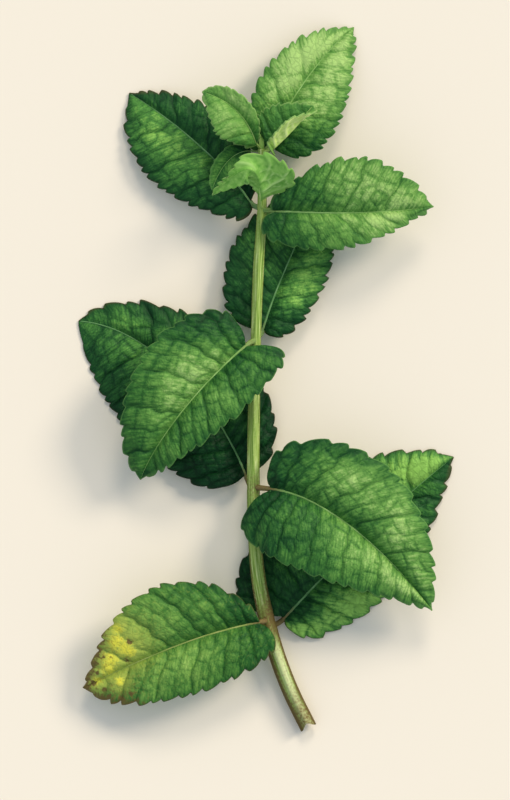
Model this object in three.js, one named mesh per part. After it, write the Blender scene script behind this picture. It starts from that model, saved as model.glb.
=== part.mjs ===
// A cut sprig of mint, lying on its back leaves on a flat surface.
//
// Millimetres, +Z up, +Y from the cut end of the stem towards the growing tip.
// The surface is z = 0 and the origin is under the middle of the sprig.
//
// Mint has a square stem and leaves in opposite pairs, one pair to a node of the stem.
// The sprig is made of its stem, thirteen leaves and the bud between the last pair.
// A leaf is a thin blade on a short stalk: its two halves crown up from a grooved midrib,
// its margin is cut into teeth that point forward, and it puffs up between its side veins.

import * as THREE from "three";

// ---------------------------------------------------------------- driving sizes, mm

const BLADE_THICKNESS = 0.72;
const TOOTH_HEIGHT = 1.0;
const TOOTH_PEAK = 0.78;      // how far along a tooth its point lies
const TOOTH_HOOK = 0.3;      // how far a tooth leans forward, as a share of its height
const PUFF_HEIGHT = 0.5;      // swelling of the blade between two side veins
const STALK_WIDTH = 1.7;
const STALK_DEPTH = 1.5;
const STALK_START = 0.2;      // the stalk stops this far from the stem
const MIDRIB_DEPTH = 0.55;    // how far the midrib stands out below the blade
const TIP_WIDTH = 0.5;        // the blade ends in a small blunt point
const TEETH_PER_VEIN = 2;     // side veins end at every second tooth
const BLADE_START = 0.025;    // the teeth begin and end here, as shares of the blade
const BLADE_END = 0.965;
const LIFT_START = 0.12;      // the halves are fully lifted from here on
const COLUMNS = [1, 0.55, 0.15, 0, -0.15, -0.55, -1];

const STEM_SIDES = 12;
const STEM_RINGS = 44;
const STEM_SQUARENESS = 0.09; // corners stand out, faces sink in, as a share of the radius
const NODE_SWELLING = 0.08;
const NODE_LENGTH = 5;
const CUT_NOTCH = 1.6;        // depth of the notch torn in the cut end

// The stem's middle line from the cut end to the tip, as [x, y, z, radius].
const STEM_LINE = [
  [10.9, -87.6, 2.0, 1.9], [6.6, -79.0, 2.7, 1.88], [3.2, -70.2, 3.4, 1.86], [0.7, -61.8, 4.2, 1.8],
  [-1.5, -51.5, 5.0, 1.65], [-2.6, -41.5, 5.8, 1.5], [-3.0, -27.2, 6.6, 1.43], [-2.9, -9.0, 7.1, 1.35],
  [-2.4, 10.0, 7.6, 1.15], [-1.8, 26.0, 7.9, 1.22], [-0.9, 42.0, 8.3, 1.05], [-0.9, 57.2, 9.3, 0.85],
];
const NODE_HEIGHTS = [-60.9, -27.2, 10.1, 42.1, 55.0]; // y of each pair of leaves
const BUD = { centre: [-1.0, 59.3, 9.6], length: 3.0, radius: 0.6 };

// One half of a blade: its greatest width, how full it is towards the base and the tip (smaller is
// fuller), how far its lobe reaches back past the stalk, and how many degrees it lifts from level.
const half = (width, base, tip, lobe, lift) => ({ width, base, tip, lobe, lift });

// A leaf follows a curve with four handles, from the stem to the tip of the blade. The left half is
// on the left of someone walking out along the leaf. roll turns it about its midrib, in degrees,
// crown is the height to which a half arches as a share of its width, and wave is in millimetres.
const LEAVES = {
  leaf_1_left: {
    route: [[0.2, -60.7, 7.5], [-15.1, -62.9, 10.4], [-30.9, -69.9, 9.8], [-45.6, -77.4, 4.2]],
    stalk: 2.0, roll: 3, teeth: 14, crown: 0.1, wave: 0.5,
    left: half(12.1, 0.58, 0.75, 0.62, 6),
    right: half(15.2, 1.08, 1.32, 0.15, 8),
  },
  leaf_1_right: {
    route: [[3.6, -61.4, 1.3], [15.6, -48.4, 0.8], [31.1, -32.1, 2.2], [47.2, -19.8, 0.6]],
    stalk: 2.0, roll: 0, teeth: 16, crown: 0.09, wave: 0.4,
    left: half(19.0, 0.48, 0.85, 0.68, -9),
    right: half(13.8, 0.72, 1.1, 0.35, -3),
  },
  leaf_2_right: {
    route: [[-0.9, -27.4, 9.6], [11.1, -27.4, 14.6], [27.4, -39.1, 15.4], [41.6, -57.9, 8.6]],
    stalk: 2.5, roll: 4, teeth: 14, crown: 0.1, wave: 0.5,
    left: half(16.6, 0.7, 1.15, 0.3, 7),
    right: half(16.4, 0.58, 1.25, 1.0, 6),
  },
  leaf_2_left: {
    route: [[-4.0, -26.9, 3.4], [-10.1, -7.9, 2.2], [-28.9, 13.4, 1.3], [-46.9, 14.4, -1.0]],
    stalk: 3.0, roll: 0, teeth: 16, crown: 0.1, wave: 0.4,
    left: half(18.2, 0.5, 0.55, 0.3, -3),
    right: half(14.3, 0.55, 0.87, 0.1, 0),
  },
  leaf_3_left: {
    route: [[-3.4, 9.4, 10.6], [-12.6, 2.1, 13.8], [-26.4, -12.9, 14.4], [-31.2, -25.2, 8.4]],
    stalk: 2.0, roll: -3, teeth: 14, crown: 0.1, wave: 0.5,
    left: half(10.6, 0.45, 0.95, 1.0, 7),
    right: half(15.9, 0.55, 0.88, 0.45, 7),
  },
  leaf_3_right: {
    route: [[-1.1, 10.6, 4.6], [2.1, 22.1, 4.6], [8.6, 35.9, 3.8], [14.9, 48.6, 1.6]],
    stalk: 2.0, roll: 0, teeth: 14, crown: 0.1, wave: 0.4,
    left: half(13.6, 0.6, 0.9, 0.3, -4),
    right: half(9.7, 0.64, 0.8, 0.4, 0),
  },
  leaf_4_right: {
    route: [[1.1, 41.8, 10.5], [13.6, 41.1, 12.0], [27.4, 40.6, 14.0], [41.9, 42.9, 9.4]],
    stalk: 1.5, roll: -4, teeth: 13, crown: 0.1, wave: 0.5,
    left: half(13.1, 1.12, 1.05, 0.4, 4),
    right: half(8.6, 0.7, 1.35, 0.7, 7),
  },
  leaf_4_left: {
    route: [[-2.9, 42.8, 6.8], [-8.9, 52.6, 5.2], [-22.6, 64.6, 3.8], [-34.1, 71.6, 0.3]],
    stalk: 2.0, roll: 0, teeth: 15, crown: 0.1, wave: 0.4,
    left: half(13.7, 0.9, 0.78, 0.65, -2),
    right: half(8.5, 0.9, 1.1, 0.1, -4),
  },
  leaf_5_back: {
    route: [[0.0, 57.0, 6.6], [4.9, 68.4, 7.0], [13.6, 80.9, 4.8], [22.1, 88.1, 0.3]],
    stalk: 2.0, roll: 0, teeth: 15, crown: 0.1, wave: 0.4,
    left: half(9.0, 0.95, 1.2, 0.7, 3),
    right: half(12.3, 0.5, 0.98, 0.35, 2),
  },
  leaf_5_left: {
    route: [[-2.8, 56.6, 9.5], [-6.4, 57.6, 10.0], [-10.9, 54.6, 9.8], [-13.3, 47.1, 8.4]],
    stalk: 0.9, roll: 0, teeth: 8, crown: 0.06, wave: 0.2,
    left: half(4.6, 0.7, 0.9, 0.1, 10),
    right: half(2.7, 0.6, 0.8, 0.1, 14),
  },
  leaf_5_front: {
    route: [[-1.2, 42.8, 10.1], [-1.3, 55.0, 24.2], [-5.1, 53.6, 24.0], [-13.1, 45.6, 16.0]],
    stalk: 2.6, roll: 180, teeth: 11, crown: 0.05, wave: 0.3,
    left: half(8.6, 1.25, 4.4, 0.0, 0),
    right: half(3.6, 2.0, 1.8, 0.0, 10),
  },
  leaf_6_left: {
    route: [[-2.0, 57.8, 11.0], [-4.4, 65.4, 13.0], [-8.4, 69.1, 13.6], [-15.7, 71.4, 12.0]],
    stalk: 0.8, roll: 0, teeth: 10, crown: 0.1, wave: 0.2,
    left: half(7.4, 1.0, 1.1, 0.3, 14),
    right: half(3.8, 1.0, 0.8, 0.1, 20),
  },
  leaf_6_right: {
    route: [[0.6, 56.6, 11.0], [4.6, 59.4, 12.4], [8.3, 63.7, 13.0], [12.0, 68.0, 12.6]],
    stalk: 0.8, roll: 20, teeth: 9, crown: 0.02, wave: 0.2,
    left: half(8.2, 0.4, 0.9, 0.0, 8),
    right: half(7.4, 0.5, 0.8, 0.0, 86),
  },
};

// Each node's colour, from the oldest leaves to the young ones at the tip.
const COLOURS = {
  stem: "#7c8a3a", leaf_1_left: "#6f9a2c", leaf_1_right: "#2f6a2a", leaf_2_right: "#4f8c33",
  leaf_2_left: "#2c6029", leaf_3_left: "#4a8a34", leaf_3_right: "#2f652b", leaf_4_right: "#3f7f31",
  leaf_4_left: "#28582a", leaf_5_back: "#3b7a33", leaf_5_left: "#3d7d36", leaf_5_front: "#6aa53c",
  leaf_6_left: "#69a03d", leaf_6_right: "#85b840", tip_bud: "#7fae3c",
};

// ---------------------------------------------------------------- helpers

const UP = new THREE.Vector3(0, 0, 1);

function piece(name, geometry) {
  const material = new THREE.MeshStandardMaterial({ color: COLOURS[name], roughness: 0.6, metalness: 0 });
  const mesh = new THREE.Mesh(geometry, material);
  mesh.name = name;
  return mesh;
}

// A closed plate made of two sheets with the same triangles. grid[row][column] holds a pair of
// points, the upper and the lower one; columns run from the right of a row to its left.
function plate(grid) {
  const rows = grid.length - 1;
  const columns = grid[0].length - 1;
  const sheet = new THREE.PlaneGeometry(1, 1, columns, rows);
  const count = sheet.attributes.position.count;
  const corners = grid.flat();
  const points = [...corners.map((pair) => pair[0]), ...corners.map((pair) => pair[1])];
  const upper = [...sheet.index.array];
  const lower = upper.map((corner) => corner + count);
  const at = (row, column) => row * (columns + 1) + column;
  const rim = [];
  for (let column = 0; column < columns; column += 1) rim.push(at(0, columns - column));
  for (let row = 0; row < rows; row += 1) rim.push(at(row, 0));
  for (let column = 0; column < columns; column += 1) rim.push(at(rows, column));
  for (let row = 0; row < rows; row += 1) rim.push(at(rows - row, columns));
  const edge = rim.flatMap((here, step) => {
    const next = rim[(step + 1) % rim.length];
    return [next, here, here + count, next, here + count, next + count];
  });
  const geometry = new THREE.BufferGeometry().setFromPoints(points);
  geometry.setIndex([...upper, ...lower.reverse(), ...edge]);
  return geometry;
}

// ---------------------------------------------------------------- leaves

// How far the margin stands out at a place along its teeth, 0 in a notch and 1 at a point.
function toothShape(place) {
  const part = place - Math.floor(place);
  return part < TOOTH_PEAK ? (part / TOOTH_PEAK) ** 0.6 : (1 - part) / (1 - TOOTH_PEAK);
}

// Half width of a blade at v, 0 at its base and 1 at its tip.
function halfWidth(side, v) {
  const peak = side.base / (side.base + side.tip);
  const fullest = peak ** side.base * (1 - peak) ** side.tip;
  return side.width * v ** side.base * (1 - v) ** side.tip / fullest;
}

// The middle line of a leaf, with the directions across it and out of its upper face.
function spineOf(leaf) {
  const curve = new THREE.CubicBezierCurve3(...leaf.route.map((handle) => new THREE.Vector3(...handle)));
  const length = curve.getLength();
  return (along) => {
    const share = THREE.MathUtils.clamp(along / length, 0, 1);
    const tangent = curve.getTangentAt(share);
    const origin = curve.getPointAt(share).addScaledVector(tangent, along - share * length);
    const roll = THREE.MathUtils.degToRad(leaf.roll);
    const right = tangent.clone().cross(UP).normalize().applyAxisAngle(tangent, -roll);
    const normal = right.clone().cross(tangent);
    return { origin, right, normal, length };
  };
}

// Where a point of a pressed leaf is: out from the midrib and along the leaf, in millimetres.
function pressed(leaf, side, blade, s, v) {
  const foot = blade * v * (0.3 + 0.7 * v);
  const margin = blade * (v - side.lobe * Math.sqrt(v) * (1 - v) ** 4);
  return new THREE.Vector2(s * halfWidth(side, v), leaf.stalk + foot + (margin - foot) * s ** 1.25);
}

// How far the teeth move the margin, out from it and a little forward along it.
function toothShift(leaf, side, blade, v) {
  const place = leaf.teeth * (v - BLADE_START) / (BLADE_END - BLADE_START);
  const fading = Math.min(1, side.width / 9, 2.5 * Math.sin(Math.PI * v));
  const height = TOOTH_HEIGHT * fading * toothShape(place);
  const forward = pressed(leaf, side, blade, 1, v + 0.004).sub(pressed(leaf, side, blade, 1, v - 0.004));
  forward.setLength(height);
  return new THREE.Vector2(forward.y, -forward.x).addScaledVector(forward, TOOTH_HOOK);
}

// A point of the blade's middle sheet and the way out of its upper face. across runs from -1 at the
// left margin to 1 at the right one.
function bladePoint(leaf, spine, across, v) {
  const side = across < 0 ? leaf.left : leaf.right;
  const s = Math.abs(across);
  const blade = spine(0).length - leaf.stalk;
  const flat = pressed(leaf, side, blade, s, v);
  if (s === 1 && v < BLADE_END) flat.add(toothShift(leaf, side, blade, v));
  const reach = Math.max(s * TIP_WIDTH / 2, flat.x);
  const { origin, right, normal } = spine(flat.y);

  // The halves open out from the stalk and flatten again at the tip.
  const lift = THREE.MathUtils.degToRad(side.lift) * Math.min(1, v / LIFT_START) * (1 - v ** 6);
  const place = leaf.teeth * (v - BLADE_START) / (BLADE_END - BLADE_START);
  const puff = PUFF_HEIGHT * Math.min(1, side.width / 12) * Math.sin(Math.PI * place / TEETH_PER_VEIN) ** 2;
  const crown = (leaf.crown * side.width * Math.sin(Math.PI * v) ** 0.5 + puff) * 4 * s * (1 - s);
  const height = crown + leaf.wave * Math.sin(3.2 * Math.PI * v + (across < 0 ? 0.6 : 2.4)) * s * s;
  const turn = lift * Math.min(1, s / 0.3);
  const point = origin
    .addScaledVector(right, Math.sign(across) * (reach * Math.cos(lift) - height * Math.sin(lift)))
    .addScaledVector(normal, reach * Math.sin(lift) + height * Math.cos(lift));
  const out = normal.multiplyScalar(Math.cos(turn));
  out.addScaledVector(right, -Math.sign(across) * Math.sin(turn));
  return { point, out };
}

// How steeply the blade's first row runs back from the midrib to its lobe.
function lobeSlope(side, blade) {
  const back = side.lobe * Math.sqrt(BLADE_START) * (1 - BLADE_START) ** 4 - 0.7 * BLADE_START;
  return Math.max(0, blade * back / halfWidth(side, BLADE_START));
}

// The stalk is a short narrow strip whose rows bend back as the blade's first row does.
function stalkPoint(leaf, spine, across, along) {
  const side = across < 0 ? leaf.left : leaf.right;
  const width = STALK_WIDTH / 2 * Math.abs(across) ** 0.55;
  const bend = lobeSlope(side, spine(0).length - leaf.stalk) * width;
  const { origin, right, normal } = spine(along - bend);
  return { point: origin.addScaledVector(right, Math.sign(across) * width), out: normal };
}

function leafGeometry(leaf) {
  const spine = spineOf(leaf);
  const rows = [STALK_START, (STALK_START + leaf.stalk) / 2, leaf.stalk].map((along) => ({ along }));
  for (let tooth = 0; tooth < leaf.teeth; tooth += 1) {
    for (const place of [0, TOOTH_PEAK]) {
      rows.push({ v: BLADE_START + (BLADE_END - BLADE_START) * (tooth + place) / leaf.teeth });
    }
  }
  rows.push({ v: BLADE_END }, { v: 0.995 });

  const grid = rows.map(({ v, along }) => COLUMNS.map((across) => {
    const s = Math.abs(across);
    const { point, out } = v ? bladePoint(leaf, spine, across, v) : stalkPoint(leaf, spine, across, along);
    const rib = s === 0 ? MIDRIB_DEPTH * (1 - 0.8 * (v ?? 0)) : 0;
    const stalk = v ? 0 : (STALK_DEPTH - BLADE_THICKNESS - MIDRIB_DEPTH) * Math.sqrt(1 - s * s);
    const top = point.clone().addScaledVector(out, BLADE_THICKNESS / 2);
    const under = point.clone().addScaledVector(out, -BLADE_THICKNESS / 2 - rib - stalk);
    // What would sink into the surface lies flat on it.
    top.z = Math.max(top.z, BLADE_THICKNESS);
    under.z = Math.max(under.z, 0);
    return [top, under];
  }));
  return plate(grid);
}

// ---------------------------------------------------------------- stem and bud

function stemGeometry() {
  const line = new THREE.CatmullRomCurve3(STEM_LINE.map(([x, y, z]) => new THREE.Vector3(x, y, z)));
  const geometry = new THREE.CylinderGeometry(1, 1, 1, STEM_SIDES, STEM_RINGS);
  const place = geometry.attributes.position;
  const last = STEM_LINE.length - 1;
  for (let index = 0; index < place.count; index += 1) {
    const t = place.getY(index) + 0.5;
    const onAxis = Math.hypot(place.getX(index), place.getZ(index)) < 0.5;
    const angle = Math.atan2(place.getX(index), place.getZ(index));
    const origin = line.getPoint(t);
    const tangent = line.getTangent(t);
    const across = tangent.clone().cross(UP).normalize();
    const up = across.clone().cross(tangent);
    const span = Math.min(Math.floor(t * last), last - 1);
    const radius = THREE.MathUtils.lerp(STEM_LINE[span][3], STEM_LINE[span + 1][3], t * last - span);
    const swellings = NODE_HEIGHTS.map((y) => Math.exp(-(((origin.y - y) / NODE_LENGTH) ** 2)));
    const swelling = 1 + NODE_SWELLING * Math.max(...swellings);
    const square = 1 + STEM_SQUARENESS * Math.cos(4 * angle);
    const reach = onAxis ? 0 : radius * square * swelling;
    const notch = t === 0 ? CUT_NOTCH * (1 - Math.abs(Math.sin(angle)) * (onAxis ? 0 : 1)) : 0;
    origin
      .addScaledVector(across, Math.sin(angle) * reach)
      .addScaledVector(up, Math.cos(angle) * reach)
      .addScaledVector(tangent, notch);
    place.setXYZ(index, origin.x, origin.y, Math.max(origin.z, 0));
  }
  return geometry;
}

// The bud is a small pointed body: the next pair of leaves, still pressed together.
function budGeometry() {
  const geometry = new THREE.SphereGeometry(1, 10, 8);
  const place = geometry.attributes.position;
  for (let index = 0; index < place.count; index += 1) {
    const slim = 1 - 0.35 * place.getY(index);
    place.setXYZ(
      index,
      BUD.centre[0] + BUD.radius * slim * place.getX(index),
      BUD.centre[1] + BUD.length / 2 * place.getY(index),
      BUD.centre[2] + BUD.radius * slim * place.getZ(index),
    );
  }
  return geometry;
}

// ---------------------------------------------------------------- the sprig

const sprig = new THREE.Group();
sprig.add(piece("stem", stemGeometry()));
for (const [name, leaf] of Object.entries(LEAVES)) sprig.add(piece(name, leafGeometry(leaf)));
sprig.add(piece("tip_bud", budGeometry()));

export default sprig;
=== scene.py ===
# %% [markdown]
# # A cut sprig of mint
# A sprig of mint lies on its back leaves: one square stem, thirteen toothed leaves and a bud. The
# leaves grow at the joints of the stem, and they get smaller and younger towards the tip. The
# solid model is loaded first and stays as the frame, so every leaf below is drawn where its solid
# is. Lengths are in millimetres until the last moment.

# %% Load the frame
from types import SimpleNamespace
import bpy
import bmesh
import numpy as np
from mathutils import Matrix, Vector


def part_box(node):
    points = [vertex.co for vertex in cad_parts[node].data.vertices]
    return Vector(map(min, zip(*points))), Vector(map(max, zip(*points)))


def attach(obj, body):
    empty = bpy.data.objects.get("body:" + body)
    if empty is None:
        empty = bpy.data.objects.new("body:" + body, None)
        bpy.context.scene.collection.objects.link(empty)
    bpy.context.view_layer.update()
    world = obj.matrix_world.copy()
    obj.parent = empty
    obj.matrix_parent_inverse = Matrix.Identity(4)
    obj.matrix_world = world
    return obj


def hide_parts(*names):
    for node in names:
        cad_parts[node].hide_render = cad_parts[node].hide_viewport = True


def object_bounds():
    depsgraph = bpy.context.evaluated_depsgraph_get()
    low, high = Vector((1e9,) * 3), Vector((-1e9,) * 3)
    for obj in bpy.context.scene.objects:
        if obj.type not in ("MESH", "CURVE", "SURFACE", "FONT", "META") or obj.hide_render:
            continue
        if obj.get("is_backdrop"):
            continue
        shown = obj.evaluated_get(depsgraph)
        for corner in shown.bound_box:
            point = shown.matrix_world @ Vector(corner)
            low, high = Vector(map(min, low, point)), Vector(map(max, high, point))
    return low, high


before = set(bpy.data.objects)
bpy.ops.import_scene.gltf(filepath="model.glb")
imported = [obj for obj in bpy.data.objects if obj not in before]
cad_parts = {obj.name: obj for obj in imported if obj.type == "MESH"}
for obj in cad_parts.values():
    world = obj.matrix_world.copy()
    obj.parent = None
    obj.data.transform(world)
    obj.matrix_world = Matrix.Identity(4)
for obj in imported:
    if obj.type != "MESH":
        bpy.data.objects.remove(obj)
cad_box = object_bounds()
MM = 0.001  # one millimetre in metres
UP = np.array([0.0, 0.0, 1.0])
scene = bpy.context.scene
print("solids in the frame:", len(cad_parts))

# %% [markdown]
# ## The size of the stem
# A cut stem bends where it grew towards the light and thins towards its tip, so no straight
# cylinder would do. It is given by points along its middle with a radius at each, from the cut
# end up. The solids were made from the same sizes, so each fine piece fits its plain one.

# %% Sizes of the stem
# Across, along and above the surface, and the radius there.
STEM_LINE = np.array([
    (10.9, -87.6, 2.0, 1.9), (6.6, -79.0, 2.7, 1.88), (3.2, -70.2, 3.4, 1.86),
    (0.7, -61.8, 4.2, 1.8), (-1.5, -51.5, 5.0, 1.65), (-2.6, -41.5, 5.8, 1.5),
    (-3.0, -27.2, 6.6, 1.43), (-2.9, -9.0, 7.1, 1.35), (-2.4, 10.0, 7.6, 1.15),
    (-1.8, 26.0, 7.9, 1.22), (-0.9, 42.0, 8.3, 1.05), (-0.9, 57.2, 9.3, 0.85),
])
NODE_HEIGHTS = (-60.9, -27.2, 10.1, 42.1, 55.0)
NODE_SWELLING = 0.08  # how much thicker a joint is, as a share
NODE_LENGTH = 5.0
SQUARENESS = 0.09  # how far the corners stand out, as a share of the radius
CUT_NOTCH = 1.6
print("stem points:", len(STEM_LINE), "joints:", len(NODE_HEIGHTS))

# %% [markdown]
# ## The sizes of the leaves
# A leaf follows a curve with four handles, from the stem to the tip of its blade. Its two halves
# differ, as on most real leaves, so each has its own width, fullness, lobe, lift and patch of
# painted light. One outline for all would be shorter, but a sprig is known by how its leaves
# differ.

# %% Sizes of the leaves
def half(width, base, tip, lobe, lift, painted_light=(0.55, 0.6, 0.5)):
    """Half a blade, as wide as width and raised by lift degrees from its midrib. A higher base or
    tip makes that end slimmer, and lobe is how far its foot reaches back. The last size is its
    patch of painted light, a painted highlight, or painted shade where its strength is below 0:
    how far out and how far along, as shares, and how strong."""
    return SimpleNamespace(width=width, base=base, tip=tip, lobe=lobe, lift=lift, painted_light=painted_light)


def leaf(route, stalk, roll, teeth, crown, wave, left, right, age="grown", tone=0.0, quilt=1.0):
    """A leaf turned by roll degrees about its midrib, with so many teeth on each side. Each half
    arches by crown, a share of its width, and its margin waves by wave. age picks its skin, a
    higher tone makes it paler, and quilt is the depth of its pillows beside those of the rest."""
    return SimpleNamespace(
        route=np.array(route, float), stalk=stalk, roll=roll, teeth=teeth, crown=crown,
        wave=wave, left=left, right=right, age=age, tone=tone, quilt=quilt)


LEAVES = {
    "leaf_1_left": leaf(
        [(0.2, -60.7, 7.5), (-15.1, -62.9, 10.4), (-30.9, -69.9, 9.8), (-45.6, -77.4, 4.2)],
        2.0, 3, 14, 0.1, 0.5, half(12.1, 0.58, 0.75, 0.62, 6, (0.5, 0.6, 0.3)),
        half(15.2, 1.08, 1.32, 0.15, 8, (0.6, 0.8, 0.5)), age="ageing"),
    "leaf_1_right": leaf(
        [(3.6, -61.4, 1.3), (15.6, -48.4, 0.8), (31.1, -32.1, 2.2), (47.2, -19.8, 0.6)],
        2.0, 0, 16, 0.09, 0.4, half(19.0, 0.48, 0.85, 0.68, -9, (0.5, 0.92, 1.1)),
        half(13.8, 0.72, 1.1, 0.35, -3, (0.8, 0.12, 1.45)), age="old", tone=0.08),
    "leaf_2_right": leaf(
        [(-0.9, -27.4, 9.6), (11.1, -27.4, 14.6), (27.4, -39.1, 15.4), (41.6, -57.9, 8.6)],
        2.5, 4, 14, 0.1, 0.5, half(16.6, 0.7, 1.15, 0.3, 7, (0.6, 0.62, 0.8)),
        half(16.4, 0.58, 1.25, 1.0, 6, (0.4, 0.85, 1.05))),
    "leaf_2_left": leaf(
        [(-4.0, -26.9, 3.4), (-10.1, -7.9, 2.2), (-28.9, 13.4, 1.3), (-46.9, 14.4, -1.0)],
        3.0, 0, 16, 0.1, 0.4, half(18.2, 0.5, 0.55, 0.3, -3, (0.2, 0.9, 0.5)),
        half(14.3, 0.55, 0.87, 0.1, 0, (0.4, 0.78, 0.7)), age="old", tone=-0.1),
    "leaf_3_left": leaf(
        [(-3.4, 9.4, 10.6), (-12.6, 2.1, 13.8), (-26.4, -12.9, 14.4), (-31.2, -25.2, 8.4)],
        2.0, -3, 14, 0.1, 0.5, half(10.6, 0.45, 0.95, 1.0, 7, (0.45, 0.3, 0.25)),
        half(15.9, 0.55, 0.88, 0.45, 7, (0.3, 0.42, 0.68)), tone=0.02),
    "leaf_3_right": leaf(
        [(-1.1, 10.6, 4.6), (2.1, 22.1, 4.6), (8.6, 35.9, 3.8), (14.9, 48.6, 1.6)],
        2.0, 0, 14, 0.1, 0.4, half(13.6, 0.6, 0.9, 0.3, -4, (0.5, 0.6, 0.2)),
        half(9.7, 0.64, 0.8, 0.4, 0, (0.55, 0.45, 0.7)), age="old", tone=0.03, quilt=0.75),
    "leaf_4_right": leaf(
        [(1.1, 41.8, 10.5), (13.6, 41.1, 12.0), (27.4, 40.6, 14.0), (41.9, 42.9, 9.4)],
        1.5, -4, 13, 0.1, 0.5, half(13.1, 1.12, 1.05, 0.4, 4, (0.5, 0.8, 0.6)),
        half(8.6, 0.7, 1.35, 0.7, 7, (0.4, 0.7, 0.6)), tone=0.14, quilt=0.85),
    "leaf_4_left": leaf(
        [(-2.9, 42.8, 6.8), (-8.9, 52.6, 5.2), (-22.6, 64.6, 3.8), (-34.1, 71.6, 0.3)],
        2.0, 0, 15, 0.1, 0.4, half(13.7, 0.9, 0.78, 0.65, -2, (0.4, 0.75, 0.65)),
        half(8.5, 0.9, 1.1, 0.1, -4, (0.5, 0.3, -0.4)), age="old"),
    "leaf_5_back": leaf(
        [(0.0, 57.0, 6.6), (4.9, 68.4, 7.0), (13.6, 80.9, 4.8), (22.1, 88.1, 0.3)],
        2.0, 0, 15, 0.1, 0.4, half(9.0, 0.95, 1.2, 0.7, 3, (0.5, 0.75, 0.95)),
        half(12.3, 0.5, 0.98, 0.35, 2, (0.5, 0.8, 0.65)), tone=0.16, quilt=0.6),
    "leaf_5_left": leaf(
        [(-2.8, 56.6, 9.5), (-6.4, 57.6, 10.0), (-10.9, 54.6, 9.8), (-13.3, 47.1, 8.4)],
        0.9, 0, 8, 0.06, 0.2, half(4.6, 0.7, 0.9, 0.1, 10), half(2.7, 0.6, 0.8, 0.1, 14)),
    "leaf_5_front": leaf(
        [(-1.2, 42.8, 10.1), (-1.3, 55.0, 24.2), (-5.1, 53.6, 24.0), (-13.1, 45.6, 16.0)],
        2.6, 180, 11, 0.05, 0.3, half(8.6, 1.25, 4.4, 0.0, 0), half(3.6, 2.0, 1.8, 0.0, 10),
        age="young"),
    "leaf_6_left": leaf(
        [(-2.0, 57.8, 11.0), (-4.4, 65.4, 13.0), (-8.4, 69.1, 13.6), (-15.7, 71.4, 12.0)],
        0.8, 0, 10, 0.1, 0.2, half(7.4, 1.0, 1.1, 0.3, 14), half(3.8, 1.0, 0.8, 0.1, 20),
        age="young"),
    "leaf_6_right": leaf(
        [(0.6, 56.6, 11.0), (4.6, 59.4, 12.4), (8.3, 63.7, 13.0), (12.0, 68.0, 12.6)],
        0.8, 20, 9, 0.02, 0.2, half(8.2, 0.4, 0.9, 0.0, 8, (0.4, 0.5, -0.6)),
        half(7.4, 0.5, 0.8, 0.0, 86),
        age="young"),
}
print("leaves:", len(LEAVES))

# %% [markdown]
# ## The camera
# The sprig is seen from straight above, through a long lens from well over a metre away, so its
# raised leaves are hardly enlarged against the ones that lie on the surface.

# %% Camera
VIEW_CENTRE = (-2.6, -5.4)
VIEW_HEIGHT = 200.0
MIDDLE_HEIGHT = 7.0
LENS = 300.0
FARTHEST_SEEN = 10.0  # metres

camera_data = bpy.data.cameras.new("camera")
camera_data.lens = LENS
camera = bpy.data.objects.new("camera", camera_data)
distance = VIEW_HEIGHT * LENS / camera_data.sensor_width
camera.location = Vector((*VIEW_CENTRE, distance + MIDDLE_HEIGHT)) * MM
camera_data.clip_end = FARTHEST_SEEN
scene.collection.objects.link(camera)
scene.camera = camera
print("camera stands", round(distance), "mm above the sprig")

# %% [markdown]
# ## Helpers for curves and sheets
# Everything on the sprig is either a sheet (a blade) or a tube (the stem, a stalk and its midrib).
# Both start from bmesh's flat grid, which NumPy can bend in one go: each of its points is read as
# two numbers from -1 to 1, and a formula says where on the plant it belongs.

# %% Smooth steps and smooth lines
def ease(low, high, x):
    """0 at low, 1 at high and a smooth step between."""
    t = np.clip((x - low) / (high - low), 0.0, 1.0)
    return t * t * (3.0 - 2.0 * t)


def unit(vectors):
    return vectors / np.linalg.norm(vectors, axis=-1, keepdims=True)


def through(points, count):
    """A smooth line through all the points, at an even step along each stretch."""
    points = np.asarray(points, float)
    padded = np.vstack([2 * points[0] - points[1], points, 2 * points[-1] - points[-2]])
    place = np.linspace(0, len(points) - 1, count)
    k = np.minimum(place.astype(int), len(points) - 2)
    t = (place - k)[:, None]
    a, b, c, d = (padded[k + i] for i in range(4))
    return 0.5 * (2 * b + (c - a) * t + (2 * a - 5 * b + 4 * c - d) * t**2
                  + (3 * b - a - 3 * c + d) * t**3)


print("halfway up a step:", ease(0.0, 1.0, 0.5))


# %% A flat grid and the place of each of its points
def grid_mesh(columns, rows):
    """A flat grid, and where each of its points is, from -1 to 1 both ways."""
    bm = bmesh.new()
    bmesh.ops.create_grid(bm, x_segments=columns, y_segments=rows, size=1.0)
    return bm, np.array([vertex.co[:2] for vertex in bm.verts])


def move_points(bm, points):
    for vertex, point in zip(bm.verts, points.tolist()):
        vertex.co = point


trial, places = grid_mesh(2, 2)
print("points of a grid of 2 by 2:", len(places))
trial.free()


# %% Writing values on the points of a piece
def write_values(bm, values_by_name):
    """Each named value goes onto the points, where a material can read it."""
    for key, values in values_by_name.items():
        vectors = np.ndim(values) == 2
        layers = bm.verts.layers.float_vector if vectors else bm.verts.layers.float
        layer = layers.new(key)
        for vertex, value in zip(bm.verts, values.tolist()):
            vertex[layer] = value


def finish_piece(bm, name, node):
    """Turns millimetres into metres, makes the object, hangs it on the root body and hides its
    solid.
    """
    bmesh.ops.scale(bm, vec=(MM, MM, MM), verts=bm.verts)
    mesh = bpy.data.meshes.new(name)
    bm.to_mesh(mesh)
    bm.free()
    mesh.shade_smooth()
    piece = bpy.data.objects.new(name, mesh)
    scene.collection.objects.link(piece)
    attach(piece, "root")
    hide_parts(node)
    print("made", name, "with", len(mesh.polygons), "faces")
    return piece


# %% A flat grid wrapped round a line becomes a tube
TUBE_CLEARANCE = 0.03  # a tube's underside stays this far above the surface
MERGE_DISTANCE = 0.003


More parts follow.
